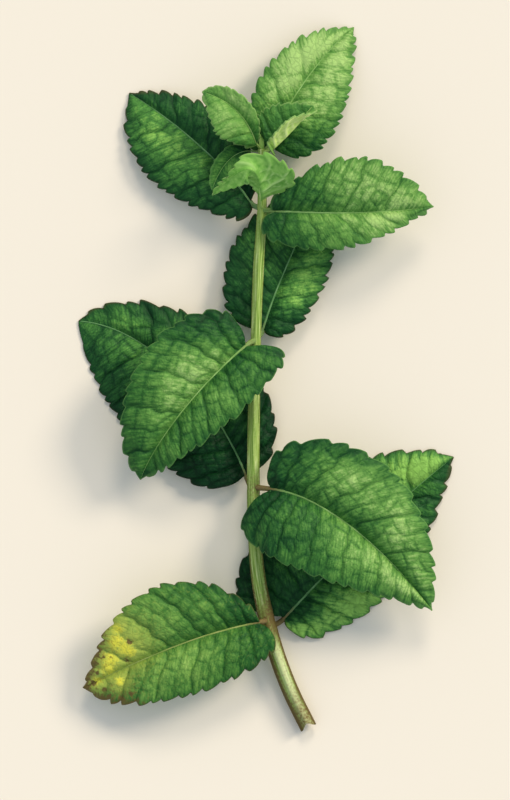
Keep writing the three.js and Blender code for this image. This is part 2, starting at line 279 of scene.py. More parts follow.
def wrap(name, node, around, line, skin):
    """skin(angle, row) gives each point's radius, its shift along the line and its values."""
    rows = len(line) - 1
    bm, places = grid_mesh(around, rows)
    row = np.rint((places[:, 1] + 1) / 2 * rows).astype(int)
    angle = places[:, 0] * np.pi
    heading = unit(np.gradient(line, axis=0))
    right = unit(np.cross(heading, UP))
    above = np.cross(right, heading)
    radius, shift, values = skin(angle, row)
    points = (line[row] + heading[row] * shift[:, None]
              + right[row] * (radius * np.sin(angle))[:, None]
              + above[row] * (radius * np.cos(angle))[:, None])
    points[:, 2] = np.maximum(points[:, 2], TUBE_CLEARANCE)
    move_points(bm, points)
    write_values(bm, values)
    bmesh.ops.remove_doubles(bm, verts=bm.verts, dist=MERGE_DISTANCE)
    bmesh.ops.recalc_face_normals(bm, faces=bm.faces)
    return finish_piece(bm, name, node)


print("tubes stay", TUBE_CLEARANCE, "mm above the surface")

# %% [markdown]
# ## The stem
# A mint stem is square: its four corners carry strands of tough fibre, and its sides sink in a
# little between them. It swells where a pair of leaves joins it. The cut end is torn into a small
# notch with pale pith inside. A cylinder could be pushed into this shape, but with a wrapped grid
# one formula gives corners, swellings and cut face together, and says for the material where the
# skin has a painted highlight, is brown along the corners, or brown with age.

# %% The line of the stem
STEM_AROUND = 72
STEM_ROWS = 520
CAP_ROWS = 5
CAP_STEP = 0.01
TIP_STEP = 0.15
TIP_FILL = (0.8, 0.5, 0.0)  # how thick the rounded tip still is, row by row

stem_line = through(STEM_LINE[:, :3], STEM_ROWS)
stem_radius = through(STEM_LINE[:, [3, 3, 3]], STEM_ROWS)[:, 0]
end_heading = unit(stem_line[1] - stem_line[0])
tip_heading = unit(stem_line[-1] - stem_line[-2])
cap = [stem_line[0] + end_heading * CAP_STEP * (k - CAP_ROWS) for k in range(CAP_ROWS)]
tip = [stem_line[-1] + tip_heading * TIP_STEP * (k + 1) for k in range(len(TIP_FILL))]
stem_path = np.vstack([cap, stem_line, tip])
fill = np.concatenate([np.linspace(0, 1, CAP_ROWS + 1)[:-1], np.ones(STEM_ROWS), TIP_FILL])
thickness = np.concatenate([np.full(CAP_ROWS, stem_radius[0]), stem_radius,
                            np.full(len(TIP_FILL), stem_radius[-1])])
print("stem radius in mm:", stem_radius.min().round(2), "to", stem_radius.max().round(2))

# %% The stem
RING_LENGTH = 0.5  # the scar where the pair of leaves joins
TEAR_ROWS = 9
HOLLOW_DEPTH = 1.2
OLD_PATCH = (-56.0, 7.0)  # the middle and the length of the browned stretch above the first joint


def stem_skin(angle, row):
    """The skin at an angle round the stem: 0 faces up, and a positive one is on its right."""
    y = stem_path[row, 1]
    away = np.abs(y[:, None] - np.array(NODE_HEIGHTS)).min(axis=1)
    swelling = np.exp(-(away / NODE_LENGTH)**2)
    ring = np.exp(-(away / RING_LENGTH)**2)
    corner = SQUARENESS * np.cos(4 * angle) + 0.03 * np.cos(8 * angle)
    ripple = 0.012 * np.sin(3 * angle + 0.35 * y) + 0.01 * np.sin(7 * angle - 0.21 * y)
    radius = thickness[row] * (1 + corner * (1 - 0.5 * swelling) + ripple)
    radius = radius * (1 + NODE_SWELLING * swelling - 0.05 * ring) * fill[row]
    notch = CUT_NOTCH * (1 - np.abs(np.sin(angle)))
    torn = notch * np.exp(-np.maximum(row - CAP_ROWS, 0) / TEAR_ROWS) * fill[row]**2
    hollow = HOLLOW_DEPTH * (1 - fill[row]**2) * (row < CAP_ROWS)
    # Brown with age: the lower joints, the foot, the cut end, and a patch on the right side.
    on_right = np.clip(0.4 + 0.7 * np.sin(angle), 0, 1)
    patch = on_right * np.exp(-((y - OLD_PATCH[0]) / OLD_PATCH[1])**2)
    foot = 0.38 * ease(-40, -66, y) + 0.55 * ease(-74, -86, y)
    ripe = 0.6 * swelling * ease(20, -20, y) + foot + 0.45 * patch
    # Brown fibres: a thin line along each side, and a wide one on the left of the foot.
    narrowness = 5 - 3.4 * ease(-60, -68, y) * (angle < 0)
    ridge = np.abs(np.sin(angle))**narrowness * (0.75 + 0.9 * ease(-30, -66, y))
    # Painted highlight along the top: right of the middle on the lower half of the stem, left
    # above.
    streak = np.clip(np.cos(angle - 0.3 + 0.9 * ease(0, 12, y)), 0, 1)**3
    pale = streak * (0.3 + 0.65 * ease(-60, -70, y))
    values = {
        "flat": np.column_stack([angle * thickness[row], y, np.zeros(len(y))]),
        "pith": (row < CAP_ROWS) * 1.0,
        "ripe": ripe,
        "ridge": ridge,
        "pale": pale,
    }
    return radius, torn + hollow, values


stem = wrap("stem_square", "stem", STEM_AROUND, stem_path, stem_skin)

# %% [markdown]
# ## The shape of a leaf
# A leaf is read from two numbers: `across`, from -1 at its left margin to 1 at its right one, and
# `v`, from 0 at the foot of the blade to 1 at its tip. First comes the curve that the midrib
# follows, then how wide each half is, then the teeth. Side veins run forward from the midrib, so
# the rows of the grid do too.

# %% The curve of a leaf
def spine(leaf):
    """A function that turns millimetres along a leaf into the place there, the way to its right
    and the way up, and then the leaf's length."""
    t = np.linspace(0, 1, 401)[:, None]
    a, b, c, d = leaf.route
    line = (1 - t)**3 * a + 3 * (1 - t)**2 * t * b + 3 * (1 - t) * t**2 * c + t**3 * d
    heading = unit((1 - t)**2 * (b - a) + 2 * (1 - t) * t * (c - b) + t**2 * (d - c))
    steps = np.linalg.norm(np.diff(line, axis=0), axis=1)
    length = np.concatenate([[0], np.cumsum(steps)])
    roll = np.radians(leaf.roll)

    def pick(values, share):
        return np.stack([np.interp(share, length, values[:, i]) for i in range(3)], axis=-1)

    def at(along):
        share = np.clip(along, 0, length[-1])
        ahead = unit(pick(heading, share))
        level = unit(np.cross(ahead, UP))
        right = level * np.cos(roll) + np.cross(level, ahead) * np.sin(roll)
        origin = pick(line, share) + ahead * (along - share)[..., None]
        return origin, right, np.cross(right, ahead)

    return at, length[-1]


print("leaf lengths in mm:", [round(float(spine(leaf)[1])) for leaf in LEAVES.values()])

# %% The smooth outline of a leaf
def sides(leaf, across):
    """The sizes of whichever half each point is on, as arrays."""
    return SimpleNamespace(**{
        key: np.where(across < 0, getattr(leaf.left, key), getattr(leaf.right, key))
        for key in ("width", "base", "tip", "lobe", "lift")})


def half_width(side, v):
    """How far the smooth margin is from the midrib, in millimetres."""
    v = np.clip(v, 0.0005, 0.9995)
    peak = side.base / (side.base + side.tip)
    most = peak ** side.base * (1 - peak) ** side.tip
    return side.width * v ** side.base * (1 - v) ** side.tip / most


def flat_place(leaf, blade, across, v):
    """Where a point would be on a pressed leaf: across it and along it, in millimetres."""
    side = sides(leaf, across)
    s = np.abs(across)
    v = np.clip(v, 0, 1)
    # A row starts at its foot, on the midrib, and runs forward to the margin.
    foot = blade * v * (0.3 + 0.7 * v)
    margin = blade * (v - side.lobe * np.sqrt(v) * (1 - v)**4)
    return across * half_width(side, v), leaf.stalk + foot + (margin - foot) * s**1.25


widths = [leaf.left.width + leaf.right.width for leaf in LEAVES.values()]
print("widest leaf in mm:", round(max(widths), 1))

# %% [markdown]
# ## The teeth
# A mint leaf's margin is cut into teeth that lean towards its tip: each rises slowly in a round
# back, then drops steeply into the next notch. They could be cut out of a smooth leaf, but
# pushing the margin out and forward keeps the grid whole.

# %% Teeth
BLADE_START = 0.025
BLADE_END = 0.965
TOOTH_HEIGHT = 1.1
TOOTH_PEAK = 0.78  # how far along a tooth its point lies
TOOTH_HOOK = 0.4  # how far its point leans forward, as a share of its height
TOOTH_STRAY = 0.16  # how unevenly the teeth are spaced
SIDE_TEETH = 40  # more than any side has, and where the numbers of the right side start
TOOTH_DRAWS = 90


def tooth_shift(leaf, blade, across, v, random):
    """How far the teeth move a point out from the smooth margin and forward along it."""
    sign = np.where(across < 0, -1.0, 1.0)
    x1, y1 = flat_place(leaf, blade, sign, v - 0.004)
    x2, y2 = flat_place(leaf, blade, sign, v + 0.004)
    size = np.maximum(np.hypot(x2 - x1, y2 - y1), 1e-9)
    tx, ty = (x2 - x1) / size, (y2 - y1) / size
    place = leaf.teeth * (v - BLADE_START) / (BLADE_END - BLADE_START)
    place = np.maximum(0, place + TOOTH_STRAY * np.sin(2.3 * place + 2 * leaf.stalk + sign))
    part = place % 1
    rise = np.sin(np.pi / 2 * part / TOOTH_PEAK)**0.75
    shape = np.where(part < TOOTH_PEAK, rise, (1 - part) / (1 - TOOTH_PEAK))
    number = np.clip(place.astype(int), 0, leaf.teeth) + (across > 0) * SIDE_TEETH
    height = TOOTH_HEIGHT * np.minimum(1, sides(leaf, across).width / 9) * shape
    height = height * (0.85 if leaf.age == "young" else 1.0)
    height = height * random.uniform(0.7, 1.25, TOOTH_DRAWS)[number]
    height = height * ease(0.84, 1.0, np.abs(across))
    height = height * (v > BLADE_START) * (v < BLADE_END) * np.minimum(1, 4 * np.sin(np.pi * v))
    return height * (sign * ty + TOOTH_HOOK * tx), height * (TOOTH_HOOK * ty - sign * tx)


print("teeth on all leaves:", sum(2 * leaf.teeth for leaf in LEAVES.values()))

# %% [markdown]
# ## The net of veins
# The upper face of a mint leaf is quilted. Side veins leave the midrib towards the teeth, smaller
# ones join them up, and the blade puffs up between them into little pillows. A picture of veins
# would be flat, so the net is worked out on the pressed leaf: a seed for each pillow, in rows
# between the side veins, and each point's distance to the border with the next one.

# %% Side veins
BAND_WIDTH = 4.1
FEWEST_BANDS = 7
MINOR_VEIN = 0.65


def band_count(blade):
    return max(FEWEST_BANDS, round(blade / BAND_WIDTH))


def vein_distance(leaf, blade, across, v, place):
    """Millimetres to the nearest side vein, and 1 for a main vein or less for a minor one."""
    step = 0.001
    x1, y1 = flat_place(leaf, blade, across, v - step)
    x2, y2 = flat_place(leaf, blade, across, v + step)
    x3, y3 = flat_place(leaf, blade, across * 0.999, v)
    x4, y4 = flat_place(leaf, blade, across * 1.001, v)
    xv, yv = (x2 - x1) / (2 * step), (y2 - y1) / (2 * step)
    xs, ys = x4 - x3, y4 - y3
    square = np.abs(xs * yv - xv * ys) / np.maximum(np.hypot(xs, ys), 1e-6)
    nearest = np.rint(place)
    gap = np.abs(place - nearest) / band_count(blade) * square
    main = np.where(nearest % 2 == 0, 1.0, MINOR_VEIN)
    return gap, main * (nearest > 0.5)


print("bands between side veins on 60 mm:", band_count(60.0))

# %% Pillows between the veins
PILLOW_LENGTH = 2.7
SPLIT_SHARE = 0.4  # how many places hold two small pillows instead of one
SPLIT_ROWS = (-0.24, 0.24)
FAR_AWAY = 1e4


def pillow_seeds(leaf, blade, sign, random):
    """Seeds between each pair of side veins, in one row or two: across, along and band number."""
    places = []
    bands = band_count(blade)
    small = min(1.0, blade / 30)
    for band in range(-1, bands + 1):
        v = float(np.clip((band + 0.5) / bands, 0.004, 0.99))
        width = float(half_width(sides(leaf, np.array(sign)), v))
        count = max(1, round(width / PILLOW_LENGTH / small))
        for k in range(count):
            s = (k + 0.5 + random.uniform(-0.3, 0.3)) / count
            split = random.uniform() < SPLIT_SHARE
            for row in SPLIT_ROWS if split else (0.0,):
                stray = row + random.uniform(-0.12, 0.12)
                lean = 0.3 * random.uniform(-1, 1) / count if split else 0
                places.append((sign * np.clip(s + lean, 0.01, 0.99), v + stray / bands, band))
    across, v, band = np.array(places).T
    return np.column_stack([*flat_place(leaf, blade, across, v), band])


def pillow_border(x, y, band, seeds):
    """Millimetres to the edge of a point's pillow, its number, and how deep that edge is."""
    squares = (x[:, None] - seeds[:, 0])**2 + (y[:, None] - seeds[:, 1])**2
    squares = squares + FAR_AWAY * (band[:, None] != seeds[:, 2])
    first = squares.argmin(axis=1)
    rows = np.arange(len(x))
    nearest = squares[rows, first].copy()
    between = np.hypot(*(seeds[first][:, None, :2] - seeds[:, :2]).transpose(2, 0, 1))
    between[rows, first] = 1.0
    border = (squares - nearest[:, None]) / (2 * between)
    border[rows, first] = FAR_AWAY
    second = border.argmin(axis=1)
    # The same made-up number for both pillows of a pair, so that they agree on their edge.
    mixed = np.sin(np.minimum(first, second) * 12.99 + np.maximum(first, second) * 78.23) * 437.5
    return border[rows, second], first, 0.35 + 0.65 * (mixed % 1)


trial_seeds = pillow_seeds(LEAVES["leaf_1_right"], 60.0, -1, np.random.default_rng(0))
print("pillows on half of a large leaf:", len(trial_seeds))

# %% [markdown]
# ## The relief of a blade
# Veins lie in grooves, and the tissue between them stands up: once in a broad puff between each
# two main veins, and again in every pillow. A bump map would be cheaper, but it leaves the outline
# flat and casts no shadow, so all of this is real height. The materials read from the same
# formulas where the veins, the pillows, the margin and the patches of painted light and shade are.

# %% Relief and values of a blade
PUFF_HEIGHT = 0.35
PILLOW_HEIGHT = 0.32
SIDE_GROOVE = 0.34
MID_GROOVE = 0.8
CROSS_VEIN_WIDTH = 0.5
SIDE_VEIN_WIDTH = 0.6
MID_GROOVE_WIDTH = 2.0
SIDE_LINE_WIDTH = 0.2  # the dark line in a groove is thinner than the groove
CROSS_LINE_WIDTH = 0.16
TONE_UNIT = 0.45  # a leaf's tone is in steps of its colours, and the painted light isn't
SIDE_PILLOWS = 500  # numbers the right side's pillows, as SIDE_TEETH does its teeth


def painted_light(leaf, across, v):
    """The leaf's tone, plus painted light: a painted highlight about the middle of each half, and
    painted shade towards the stalk.
    """
    total = leaf.tone / TONE_UNIT - 0.6 * (1 - ease(0.0, 0.45, v))
    for half_leaf, on in ((leaf.left, across < 0), (leaf.right, across >= 0)):
        s_highlight, v_highlight, amount = half_leaf.painted_light
        near = np.exp(-((np.abs(across) - s_highlight) / 0.45)**2 - ((v - v_highlight) / 0.36)**2)
        total = total + on * amount * near
    return total


def blade_values(leaf, blade, across, v, random):
    """The relief of a blade in millimetres, and the values that its materials read."""
    side = sides(leaf, across)
    s = np.abs(across)
    x, y = flat_place(leaf, blade, across, v)
    # Side veins aren't quite straight, and those of the two halves don't meet at the midrib.
    wander = 0.09 * np.sin(0.55 * x + 1.3 * leaf.stalk) + 0.06 * np.sin(1.3 * x + 0.4 * y)
    wander = wander + 0.35 * (across > 0)
    place = band_count(blade) * v + wander
    gap, main = vein_distance(leaf, blade, across, v, place)
    border, cell, depth = np.full(len(x), 9.0), np.zeros(len(x), int), np.ones(len(x))
    for sign in (-1, 1):
        on = across * sign >= 0
        seeds = pillow_seeds(leaf, blade, sign, random)
        band = np.floor(place[on])
        border[on], cell[on], depth[on] = pillow_border(x[on], y[on], band, seeds)
        cell[on] += SIDE_PILLOWS * (sign > 0)
    small = np.minimum(1, side.width / 10)
    # The relief dies out at the margin and where the blade is narrow.
    calm = (1 - ease(0.9, 1.0, s)) * small * np.minimum(1, half_width(side, v) / 3)
    cross_vein = depth * np.exp(-(border / CROSS_VEIN_WIDTH)**2)
    side_vein = main * np.exp(-(gap / SIDE_VEIN_WIDTH)**2)
    pillow = 1 - np.maximum(cross_vein, side_vein)
    puff = PUFF_HEIGHT * np.sin(np.pi * place / 2)**2 * 4 * s * (1 - s)
    beside_rib = 1 - np.exp(-(x / 0.8)**2)
    relief = (PILLOW_HEIGHT * pillow + puff - SIDE_GROOVE * side_vein) * leaf.quilt
    relief = relief * calm * beside_rib
    relief -= MID_GROOVE * small * (np.exp(-(x / MID_GROOVE_WIDTH)**2) - 0.4) * (1 - v**3)
    line = np.maximum(0.9 * main * np.exp(-(gap / SIDE_LINE_WIDTH)**2),
                      0.6 * depth * np.exp(-(border / CROSS_LINE_WIDTH)**2))
    line = line * calm * beside_rib * leaf.quilt
    values = {
        "flat": np.column_stack([np.abs(x), y, 40.0 * leaf.stalk + leaf.roll + 9.0 * (x > 0)]),
        "pillow": pillow * calm,
        "vein": line,
        "shade": random.uniform(0, 1, 2 * SIDE_PILLOWS)[cell],
        "rim": (1 - s) * half_width(side, v),
        # Painted light and shade on the upper face: a painted highlight, and painted shade near the
        # stalk.
        "painted_light": painted_light(leaf, across, v),
    }
    return relief, values


print("deepest relief in mm:", round(PILLOW_HEIGHT + PUFF_HEIGHT + SIDE_GROOVE, 2))

# %% [markdown]
# ## The dying tip
# The oldest leaf is dying back from its tip. Its green fades first between the veins, yellow
# blotches follow, and the tissue that has dried is brown: a few spots and a ragged margin. Noise
# alone would put them anywhere, so each blotch has its place, and noise only roughens its edge.

# %% Blotches on the ageing leaf
# Each has its place seen from above, its radius and its strength.
YELLOW_BLOTCHES = [
    (-35.1, -67.1, 2.6, 1.0), (-37.1, -65.9, 2.6, 1.0), (-33.6, -68.2, 1.6, 1.0),
    (-38.7, -70.2, 2.5, 1.0), (-39.4, -72.2, 2.1, 1.0), (-36.4, -75.6, 1.3, 1.0),
    (-36.9, -62.6, 1.6, 1.0), (-42.2, -75.6, 1.4, 1.0),
]
BROWN_SPOTS = [
    (-33.9, -65.7, 0.9, 1.0), (-34.6, -70.2, 1.2, 0.62), (-42.0, -69.2, 0.8, 1.0),
    (-43.8, -72.4, 1.0, 1.0), (-45.2, -77.8, 2.0, 1.0), (-43.0, -76.2, 1.0, 1.0),
    (-38.9, -79.5, 1.1, 0.8), (-35.8, -80.2, 1.2, 1.0), (-33.6, -78.8, 0.7, 1.0),
    (-40.2, -69.6, 0.5, 1.0), (-40.2, -77.8, 0.8, 1.0), (-41.9, -73.6, 0.6, 1.0),
]
FADING_SPREAD = 2.6  # the green fades this much further out than the yellow
VEINS_STAY_GREEN = 0.5


def blotches(points, spots, spread=1.0):
    total = np.zeros(len(points))
    for x, y, radius, strength in spots:
        distance = np.hypot(points[:, 0] - x, points[:, 1] - y)
        total = np.maximum(total, strength * np.exp(-(distance / (radius * spread))**2))
    return total


def ageing_values(points, values, v):
    """How faded, yellow and brown each point is."""
    between_veins = 1 - VEINS_STAY_GREEN * values["vein"]
    dry_margin = np.maximum(0.85 * np.exp(-values["rim"] / 1.0),
                            0.45 * np.exp(-values["rim"] / 5.0)) * ease(0.6, 0.82, v)
    return {
        "yellow": blotches(points, YELLOW_BLOTCHES) * between_veins,
        "fading": blotches(points, YELLOW_BLOTCHES, FADING_SPREAD) * between_veins,
        "brown": np.maximum(blotches(points, BROWN_SPOTS), dry_margin),
    }


print("blotches:", len(YELLOW_BLOTCHES), "yellow and", len(BROWN_SPOTS), "brown")

# %% [markdown]
# ## A blade
# The quilted sheet is one bmesh grid, moved point by point to its place on the plant: out along
# its half, up over the crown of that half, and in at the veins. Solidify then gives it a leaf's
# thickness, about a third of a millimetre, and a second material on its paler lower face.

# %% Blade
GRID_STEP = 0.3
LIFT_START = 0.12  # how far along the blade its halves are fully raised
TIP_WIDTH = 0.03  # the least width of a half, at its very tip
FOOT_BLUNT = 0.25  # and how much more that is everywhere else
LEAF_THICKNESS = 0.36
LOWEST_MIDDLE = 0.25  # a blade's middle layer stays this far above the surface
SOFT_RANGE = 0.45


def rest_on_surface(points):
    """Lifts what would sink into the surface, without a crease where it starts."""
    start = LOWEST_MIDDLE + SOFT_RANGE
    low = points[:, 2] < start
    points[low, 2] = LOWEST_MIDDLE + SOFT_RANGE * np.exp((points[low, 2] - start) / SOFT_RANGE)


def make_blade(name, leaf):
    """One blade. Its random draws are seeded by its name, so every run gives the same leaf."""
    random = np.random.default_rng(sum(map(ord, name)))
    at, length = spine(leaf)
    blade = length - leaf.stalk
    width = leaf.left.width + leaf.right.width
    bm, places = grid_mesh(2 * round(width / GRID_STEP / 2), round(blade / GRID_STEP))
    across = places[:, 0]
    u = (places[:, 1] + 1) / 2
    # The rows are closer together near both ends, where the outline turns fastest.
    v = 0.75 * u + 0.25 * (1 - np.cos(np.pi * u)) / 2
    side = sides(leaf, across)
    s = np.abs(across)

    relief, values = blade_values(leaf, blade, across, v, random)
    tooth_out, tooth_on = tooth_shift(leaf, blade, across, v, random)
    blunt = FOOT_BLUNT * (1 - ease(0.97, 1, v)) + TIP_WIDTH
    reach = s * np.maximum(blunt, half_width(side, v)) + np.sign(across) * tooth_out
    along = values["flat"][:, 1] + tooth_on
    lift = np.radians(side.lift) * np.minimum(1, v / LIFT_START) * (1 - v**6)
    crown = leaf.crown * side.width * np.sqrt(np.sin(np.pi * v)) * 4 * s * (1 - s)
    wave = leaf.wave * np.sin(3.2 * np.pi * v + np.where(across < 0, 0.6, 2.4)) * s**2
    height = crown + wave + relief
    out = np.sign(across) * (reach * np.cos(lift) - height * np.sin(lift) * (s > 0))
    origin, right, normal = at(along)
    points = (origin + right * out[:, None]
              + normal * (reach * np.sin(lift) + height * np.cos(lift))[:, None])
    rest_on_surface(points)
    if leaf.age == "ageing":
        values.update(ageing_values(points, values, v))
    move_points(bm, points)
    write_values(bm, values)
    piece = finish_piece(bm, name + "_blade", name)
    thick = piece.modifiers.new("thickness", "SOLIDIFY")
    thick.thickness = LEAF_THICKNESS * MM
    thick.offset = 0.0
    thick.material_offset = 1
    return piece


blades = {name: make_blade(name, leaf) for name, leaf in LEAVES.items()}

# %% [markdown]
# ## Stalks and midribs
# Each blade hangs on a stalk that runs on as its midrib. It is one tapered rod, so it is one tube:
# it starts inside the stem, comes out at the joint, dips under the blade and shows above it only
# as a thin pale line in the groove. Below the leaf it stands out as a rounded rib.

# %% Stalk and midrib
RIB_AROUND = 16
RIB_STEP = 0.35
RIB_START = 1.2  # where the free part begins, in millimetres along the leaf
RIB_END = 0.4
STALK_RADIUS = 0.62
RIB_SHOWS = 0.2  # how far the midrib stands over the blade
ROOT_ROWS = 13


def make_rib(name, leaf):
    """A leaf's stalk, from inside the stem, and the midrib that it runs on into."""
    at, length = spine(leaf)
    blade = length - leaf.stalk
    small = min(1.0, (leaf.left.width + leaf.right.width) / 22)
    along = np.linspace(RIB_START, length - RIB_END, round(length / RIB_STEP))
    # The share of the blade at a place along its midrib, which is flat_place turned round.
    v_mid = (-0.3 + np.sqrt(0.09 + 2.8 * np.clip((along - leaf.stalk) / blade, 0, 1))) / 1.4
    radius = STALK_RADIUS * small * (1 - 0.82 * v_mid**0.8)
    small_groove = min(1.0, leaf.left.width / 10, leaf.right.width / 10)
    groove = 0.6 * MID_GROOVE * small_groove * (1 - v_mid**3)
    shows = RIB_SHOWS * small * (1 - 0.4 * v_mid)
    origin, right, normal = at(along)
    line = origin - normal * groove[:, None]
    rest_on_surface(line)
    line = line + normal * (LEAF_THICKNESS / 2 + shows - radius)[:, None]
    anchor = stem_line[np.linalg.norm(stem_line - leaf.route[0], axis=1).argmin()]
    bend = line[0] + (line[0] - line[3]) * 1.1
    t = np.linspace(0, 1, ROOT_ROWS + 1)[:-1, None]
    root = (1 - t)**2 * anchor + 2 * (1 - t) * t * bend + t**2 * line[0]
    path = np.vstack([root, line])
    thick = np.concatenate([np.linspace(1.25, 1.0, len(root)) * radius[0], radius])
    thick[[0, -1]] = 0.0
    browned = 0.45 + 0.55 * ease(20, -20, leaf.route[0, 1])

    def skin(angle, row):
        ridge = 1 + 0.04 * np.cos(3 * angle)
        values = {
            "flat": np.column_stack([angle * 0.7, row * RIB_STEP, np.full(len(row), leaf.stalk)]),
            "stalk": browned * (1 - ease(len(root), len(root) + 12 + 10 * small, row)),
        }
        return thick[row] * ridge, np.zeros(len(row)), values

    return wrap(name + "_rib", name, RIB_AROUND, path, skin)


ribs = {name: make_rib(name, leaf) for name, leaf in LEAVES.items()}

# %% [markdown]
# ## The bud
# At the very tip the next pair of leaves is still folded face to face: a small pointed bud with a
# furrow down each side. It is a wrapped grid once more, narrow at both ends.

# %% Bud
BUD_AROUND = 40
BUD_ROWS = 60
BUD_RADIUS = 0.75
FURROW_DEPTH = 0.28  # as a share of the radius

bud_low, bud_high = (np.array(corner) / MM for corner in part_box("tip_bud"))
print("bud box in mm:", bud_low.round(2), bud_high.round(2))
bud_foot = stem_line[-1] + np.array([0.0, -0.6, 0.1])
bud_tip = np.array([(bud_low[0] + bud_high[0]) / 2, bud_high[1], (bud_low[2] + bud_high[2]) / 2])
bud_middle = bud_foot * 0.45 + bud_tip * 0.55 + [0, 0, 0.15]
bud_line = through([bud_foot, bud_middle, bud_tip], BUD_ROWS)


def bud_skin(angle, row):
    u = row / (len(bud_line) - 1)
    body = BUD_RADIUS * np.sin(np.pi * np.clip(u, 0, 1)**0.8)**0.7
    furrow = 1 - FURROW_DEPTH * np.exp(-((np.abs(angle) - np.pi / 2) / 0.25)**2)
    values = {"flat": np.column_stack([angle * 0.6, u * 3, u * 0]), "stalk": u * 0}
    return body * furrow, np.zeros(len(u)), values


bud = wrap("tip_bud_scales", "tip_bud", BUD_AROUND, bud_line, bud_skin)

# %% [markdown]
# ## Materials
# Leaf skin is a clear waxy layer over green tissue: a dielectric of index about 1.45, a little
# rough, so it shows a soft sheen on the bulges. The upper face is dark where chlorophyll is dense.
# It is painted paler on the pillow tops, a painted highlight, and has patches of painted light and
# shade: paler about the middle of each half, darker towards the stalk. Veins are thin dark lines in
# the grooves, their own colour deepened by painted shade, but the midrib is pale. Materials'
# colours are sRGB hex codes.

# %% Colour and node helpers
def linear(code):
    """An sRGB hex code as the linear colour that a shader wants."""
    channels = [int(code[i:i + 2], 16) / 255 for i in (1, 3, 5)]
    return tuple(c / 12.92 if c <= 0.04045 else ((c + 0.055) / 1.055)**2.4
                 for c in channels) + (1.0,)


def add(tree, kind, inputs=None, **settings):
    """Adds one node. A socket given as an input is linked, and any other value is set."""
    node = tree.nodes.new(kind)
    for key, value in settings.items():
        setattr(node, key, value)
    for socket, value in (inputs or {}).items():
        if isinstance(value, bpy.types.NodeSocket):
            tree.links.new(value, node.inputs[socket])
        else:
            node.inputs[socket].default_value = value
    return node


def new_material(name, roughness, specular=0.13):
    """A dull dielectric, its node tree and its shader. Leaf wax, plant fibre and board all have
    an index near 1.45."""
    material = bpy.data.materials.new(name)
    material.use_nodes = True
    shader = material.node_tree.nodes["Principled BSDF"]
    shader.inputs["Roughness"].default_value = roughness
    shader.inputs["IOR"].default_value = 1.45
    shader.inputs["Specular IOR Level"].default_value = specular
    print("made", name)
    return material, material.node_tree, shader


def spread_hues(node, low, high, hues):
    """Spreads hex codes evenly over a colour ramp, from the place low to the place high."""
    elements = node.color_ramp.elements
    while len(elements) < len(hues):
        elements.new(0.5)
    for element, place, code in zip(elements, np.linspace(low, high, len(hues)), hues):
        element.position = place
        element.color = linear(code)
    return node.outputs[0]


def tint(material, mask, code):
    """Lays one more colour over what the shader has, where the mask is high."""
    tree = material.node_tree
    base = tree.nodes["Principled BSDF"].inputs["Base Color"]
    mixed = add(tree, "ShaderNodeMix", {0: mask, 6: base.links[0].from_socket, 7: linear(code)},
                data_type="RGBA")
    tree.links.new(mixed.outputs[2], base)


print("middle grey, linear:", round(linear("#808080")[0], 3))

